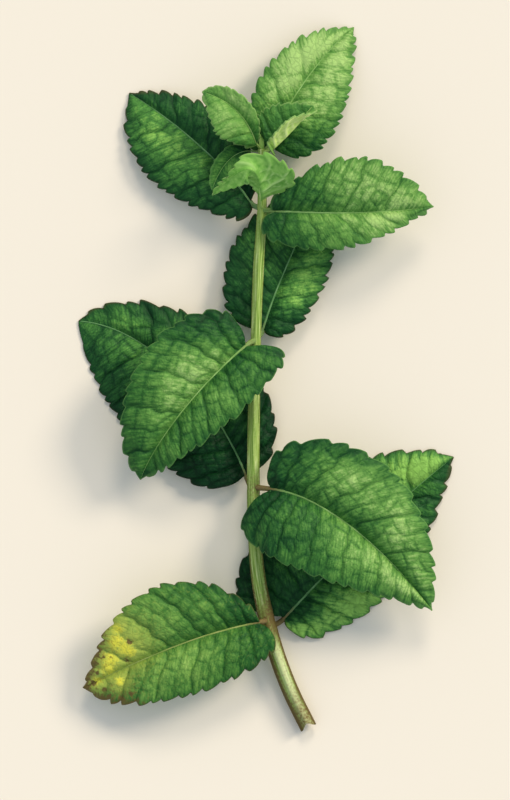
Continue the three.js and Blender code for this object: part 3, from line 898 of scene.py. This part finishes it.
# %% Leaf skin
def leaf_skin(name, hues, vein, rim):
    """Upper skin of a leaf. hues runs from the darkest tissue to the palest."""
    material, tree, shader = new_material(name, roughness=0.5)
    flat = add(tree, "ShaderNodeAttribute", attribute_name="flat").outputs["Vector"]
    read = {key: add(tree, "ShaderNodeAttribute", attribute_name=key).outputs["Fac"]
            for key in ("pillow", "vein", "shade", "rim", "painted_light")}
    # Cloudy patches, about 9 mm across. Strokes beside the side veins, 2.5 mm by 0.5 mm, and
    # stipple of 0.4 mm: both are coarser than the cells of a real leaf, which wouldn't show.
    cloud = add(tree, "ShaderNodeTexNoise", {"Vector": flat, "Scale": 0.11, "Detail": 2.0})
    stipple = add(tree, "ShaderNodeTexNoise", {"Vector": flat, "Scale": 2.4, "Detail": 2.0})
    turned = add(tree, "ShaderNodeMapping", vector_type="TEXTURE", inputs={
        "Vector": flat, "Rotation": (0.0, 0.0, np.radians(32)), "Scale": (2.5, 0.5, 1.0)})
    stroke = add(tree, "ShaderNodeTexNoise",
                 {"Vector": turned.outputs[0], "Scale": 1.0, "Detail": 1.0})
    # Paler on the pillow tops, a painted highlight, and where the painted light is high; darker in
    # its painted shade.
    tone = add(tree, "ShaderNodeMath", {0: read["pillow"], 1: 0.15, 2: -0.18},
               operation="MULTIPLY_ADD").outputs[0]
    for value, weight in ((read["shade"], 0.06), (cloud.outputs["Fac"], 0.55),
                          (stroke.outputs["Fac"], 0.38), (stipple.outputs["Fac"], 0.24),
                          (read["painted_light"], 0.36)):
        tone = add(tree, "ShaderNodeMath", {0: value, 1: weight, 2: tone},
                   operation="MULTIPLY_ADD").outputs[0]
    colour = spread_hues(add(tree, "ShaderNodeValToRGB", {0: tone}), 0.2, 0.95, hues)
    # The finest veins are 1.4 mm apart. The larger ones are drawn over them.
    bent = add(tree, "ShaderNodeTexNoise", {"Vector": flat, "Scale": 0.9, "Detail": 1.0})
    moved = add(tree, "ShaderNodeVectorMath", operation="MULTIPLY_ADD", inputs={
        0: bent.outputs["Color"], 1: (0.9, 0.9, 0.0), 2: flat}).outputs[0]
    fine = add(tree, "ShaderNodeTexVoronoi", {"Vector": moved, "Scale": 0.72},
               feature="DISTANCE_TO_EDGE").outputs["Distance"]
    net = add(tree, "ShaderNodeMapRange", {0: fine, 1: 0.0, 2: 0.2, 3: 1.0, 4: 0.0}).outputs[0]
    thin = add(tree, "ShaderNodeMath", {0: net, 1: 0.2}, operation="MULTIPLY").outputs[0]
    bold = add(tree, "ShaderNodeMath", {0: read["vein"], 1: 0.6}, operation="MULTIPLY").outputs[0]
    any_vein = add(tree, "ShaderNodeMath", {0: thin, 1: bold}, operation="MAXIMUM").outputs[0]
    tree.links.new(colour, shader.inputs["Base Color"])
    # The veins' dark colour is partly their own and partly painted shade in their grooves and
    # furrows.
    tint(material, any_vein, vein)
    # The very edge has its own colour, 0.3 mm wide: a painted highlight on grown and young leaves,
    # and a dried brown on old and ageing ones.
    edge = add(tree, "ShaderNodeMapRange", {0: read["rim"], 1: 0.0, 2: 0.3, 3: 0.6, 4: 0.0})
    tint(material, edge.outputs[0], rim)
    # The finest veins also lie in furrows, and the skin between them has a grain.
    height = add(tree, "ShaderNodeMath", {0: net, 1: -1.0, 2: stipple.outputs["Fac"]},
                 operation="MULTIPLY_ADD").outputs[0]
    bump = add(tree, "ShaderNodeBump", {"Height": height, "Strength": 0.6, "Distance": 0.12 * MM})
    tree.links.new(bump.outputs[0], shader.inputs["Normal"])
    return material


# The tissue, the veins and the very edge: a painted highlight on grown and young leaves, dried
# brown on old and ageing ones.
LEAF_HUES = {
    "grown": (["#0b3015", "#1b4d23", "#3d7230", "#6a9d47", "#a8cc75"], "#173f1d", "#6f9f52"),
    "old": (["#062812", "#103e1d", "#275a29", "#508a3c", "#90c45a"], "#0e3018", "#57492f"),
    "young": (["#2a5c28", "#477d36", "#6c9f49", "#90b862", "#bcd68a"], "#33692c", "#a3c774"),
    "ageing": (["#113b1a", "#285c25", "#4f8136", "#7aa64b", "#aacb69"], "#1f5220", "#5f5a30"),
}
skins = {age: leaf_skin("mint_leaf_skin_" + age, *hues) for age, hues in LEAF_HUES.items()}

# %% [markdown]
# ## Ageing skin
# On the dying leaf the same skin is bleached to yellow-green, then yellow, and is a dull brown
# where it has dried. Each colour is laid over the last through a mask: the value on the points
# plus some noise, cut off at two levels, which breaks its edge into ragged specks.

# %% Yellow and brown on the ageing leaf
def stain(material, key, low, high, roughening, code):
    """Tints a material where a value on the points is high, out to a ragged edge with specks
    about 0.6 mm across."""
    tree = material.node_tree
    flat = add(tree, "ShaderNodeAttribute", attribute_name="flat").outputs["Vector"]
    value = add(tree, "ShaderNodeAttribute", attribute_name=key).outputs["Fac"]
    noise = add(tree, "ShaderNodeTexNoise", {"Vector": flat, "Scale": 1.6, "Detail": 3.0})
    rough = add(tree, "ShaderNodeMath", {0: noise.outputs["Fac"], 1: roughening, 2: value},
                operation="MULTIPLY_ADD").outputs[0]
    mask = add(tree, "ShaderNodeMapRange", {0: rough, 1: low, 2: high}).outputs[0]
    tint(material, mask, code)
    print("stained", material.name, "by", key)


stain(skins["ageing"], "fading", 0.45, 1.5, 0.8, "#b9c455")
stain(skins["ageing"], "yellow", 0.95, 1.6, 1.2, "#f0e84e")
stain(skins["ageing"], "brown", 1.0, 1.4, 1.4, "#6c5d31")

# %% [markdown]
# ## The lower face
# The lower face has no waxy sheen, so it is rougher. It is paler and greyer, with light raised
# veins and a coarse grain, and it is painted darker green near the stalk, following the painted
# shade of the upper face.

# %% Lower face
def leaf_back(name, dark, pale, vein, foot):
    material, tree, shader = new_material(name, roughness=0.62)
    flat = add(tree, "ShaderNodeAttribute", attribute_name="flat").outputs["Vector"]
    veins = add(tree, "ShaderNodeAttribute", attribute_name="vein").outputs["Fac"]
    painted_light_here = add(tree, "ShaderNodeAttribute", attribute_name="painted_light").outputs["Fac"]
    # A grain about 1 mm across, as coarse as it has to be to show.
    grain = add(tree, "ShaderNodeTexNoise", {"Vector": flat, "Scale": 0.9, "Detail": 4.0})
    ramp = add(tree, "ShaderNodeValToRGB", {0: grain.outputs["Fac"]})
    tree.links.new(spread_hues(ramp, 0.3, 0.7, [dark, pale]), shader.inputs["Base Color"])
    tint(material, veins, vein)
    # Painted shade: darker green near the stalk, where the upper face is painted darker.
    painted_shade_near_stalk = add(tree, "ShaderNodeMapRange", {0: painted_light_here, 1: -0.25, 2: -0.5})
    tint(material, painted_shade_near_stalk.outputs[0], foot)
    bump = add(tree, "ShaderNodeBump", {"Height": grain.outputs["Fac"], "Strength": 0.4,
                                        "Distance": 0.15 * MM})
    tree.links.new(bump.outputs[0], shader.inputs["Normal"])
    return material


# The newest leaf is folded over and stands on edge, away from the lamps. Its lower face is painted
# bright: painted light, for the light that comes through its thin blade.
newest_back_painted_light = leaf_back("mint_newest_leaf_underside_painted_light", "#bfe56e", "#e6f998", "#f2fdb8", "#6f9f45")
grown_back = leaf_back("mint_leaf_underside", "#4f7f45", "#7ba562", "#9dbd7c", "#4f7f45")
young_back = leaf_back("mint_young_leaf_underside", "#5f9a3c", "#8fc15e", "#bfe08e", "#6f9f45")

# %% [markdown]
# ## Stalk, stem and pith
# Stalks and stem have the same kind of skin over long fibres, so their colour runs in streaks
# along them. Mint turns brown at its joints and towards its old, cut end. The pith is dry, soft
# and nearly white. A tube's `flat` value holds millimetres round and along it.

# %% Streaked skin
def streaked_skin(name, hues, streak):
    """streak is how many streaks there are in a millimetre round the piece, and along it."""
    material, tree, shader = new_material(name, roughness=0.5)
    flat = add(tree, "ShaderNodeAttribute", attribute_name="flat").outputs["Vector"]
    long_way = add(tree, "ShaderNodeMapping", {"Vector": flat, "Scale": (*streak, 1.0)})
    fibres = add(tree, "ShaderNodeTexNoise",
                 {"Vector": long_way.outputs[0], "Scale": 1.0, "Detail": 4.0})
    ramp = add(tree, "ShaderNodeValToRGB", {0: fibres.outputs["Fac"]})
    tree.links.new(spread_hues(ramp, 0.28, 0.72, hues), shader.inputs["Base Color"])
    bump = add(tree, "ShaderNodeBump", {"Height": fibres.outputs["Fac"], "Strength": 0.5,
                                        "Distance": 0.15 * MM})
    tree.links.new(bump.outputs[0], shader.inputs["Normal"])
    return material


# Real fibres are finer than these streaks, which are 0.45 mm by 8 mm so that they show.
stem_finish = streaked_skin(
    "mint_stem_skin", ["#56732c", "#7f9f44", "#a5bd66", "#d2dc9e"], (2.2, 0.12))
# A painted highlight along the top of the stem.
stain(stem_finish, "pale", 0.6, 1.6, 0.7, "#dbe0ac")
stain(stem_finish, "ripe", 1.1, 1.9, 1.5, "#736236")
stain(stem_finish, "ridge", 1.0, 1.9, 1.2, "#62522b")
stain(stem_finish, "pith", 0.5, 0.8, 0.2, "#d8cda8")

# %% Stalks and midribs
RIB_HUES = {
    "old": ["#4a7a46", "#67965c", "#86b078"],
    "grown": ["#5f8b46", "#84ae5e", "#a6cb80"],
    "ageing": ["#7d9a4a", "#a3b560", "#c3c67c"],
    "young": ["#7fb050", "#a0c668", "#c0d98a"],
}
rib_finish = {}
for age, hues in RIB_HUES.items():
    rib_finish[age] = streaked_skin("mint_rib_" + age, hues, (1.5, 0.2))
    stain(rib_finish[age], "stalk", 0.6, 1.3, 0.6, "#7d6a42")

# %% Paint every piece
for name, leaf in LEAVES.items():
    back = young_back if leaf.age == "young" else grown_back
    if name == "leaf_6_right":
        back = newest_back_painted_light
    for material in (skins[leaf.age], back):
        blades[name].data.materials.append(material)
    ribs[name].data.materials.append(rib_finish[leaf.age])
stem.data.materials.append(stem_finish)
bud.data.materials.append(rib_finish["young"])
print("materials:", len(bpy.data.materials))

# %% [markdown]
# ## Surface and light
# The sprig lies on plain cream board, which is uncoated, so it is rough and shows no gloss. A
# strong lamp far away at the upper right throws soft shadows to the lower left, a weaker one at
# the top fills them in, and a cool light from all round keeps them grey-blue. The lamps are suns
# with wide discs, not softboxes close by, because they light the whole surface evenly.
# The Standard view transform shows colours as they are; the default one would grey the cream.

# %% Surface
BOARD_HALF_SIZE = 1.5  # metres

floor_bm = bmesh.new()
bmesh.ops.create_grid(floor_bm, x_segments=1, y_segments=1, size=BOARD_HALF_SIZE)
floor_mesh = bpy.data.meshes.new("surface")
floor_bm.to_mesh(floor_mesh)
floor_bm.free()
floor = bpy.data.objects.new("surface", floor_mesh)
scene.collection.objects.link(floor)
floor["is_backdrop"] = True
board, _, board_shader = new_material("matt_cream_board", roughness=0.9, specular=0.1)
board_shader.inputs["Base Color"].default_value = linear("#f8eddb")
floor_mesh.materials.append(board)
print("board in metres:", tuple(floor.dimensions))

# %% Lamps
LAMP_WIDTH = 18.0  # degrees
LAMP_COLOUR = (1.0, 0.9, 0.75)
LAMP_DISTANCE = 1.2  # metres, for the viewport alone
# The way towards each lamp, and its strength.
LAMPS = {"right_lamp": ((1.3, 0.95, 1.0), 1.85), "top_lamp": ((0.2, 1.25, 1.0), 1.0)}
FILL_COLOUR = (0.76, 0.87, 1.0, 1.0)
FILL_STRENGTH = 0.65

scene.view_settings.view_transform = "Standard"
for name, (towards, strength) in LAMPS.items():
    lamp_data = bpy.data.lights.new(name, "SUN")
    lamp_data.energy = strength
    lamp_data.angle = np.radians(LAMP_WIDTH)
    lamp_data.color = LAMP_COLOUR
    lamp = bpy.data.objects.new(name, lamp_data)
    towards = Vector(towards).normalized()
    lamp.location = towards * LAMP_DISTANCE
    lamp.rotation_mode = "QUATERNION"
    lamp.rotation_quaternion = towards.to_track_quat("Z", "Y")
    scene.collection.objects.link(lamp)
    print(name, "stands", round(np.degrees(np.arcsin(towards.z))), "degrees up")

world = bpy.data.worlds.new("soft_room")
scene.world = world
world.use_nodes = True
background = world.node_tree.nodes["Background"]
background.inputs["Color"].default_value = FILL_COLOUR
background.inputs["Strength"].default_value = FILL_STRENGTH

# %% [markdown]
# ## Sizes and the end
# The finished sprig should be no bigger than its solids, so both boxes are written down.

# %% Write the sizes and finish
shown_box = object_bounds()
for label, box in (("solids", cad_box), ("sprig", shown_box)):
    print(label, "in mm:", [tuple(round(c / MM, 1) for c in corner) for corner in box])
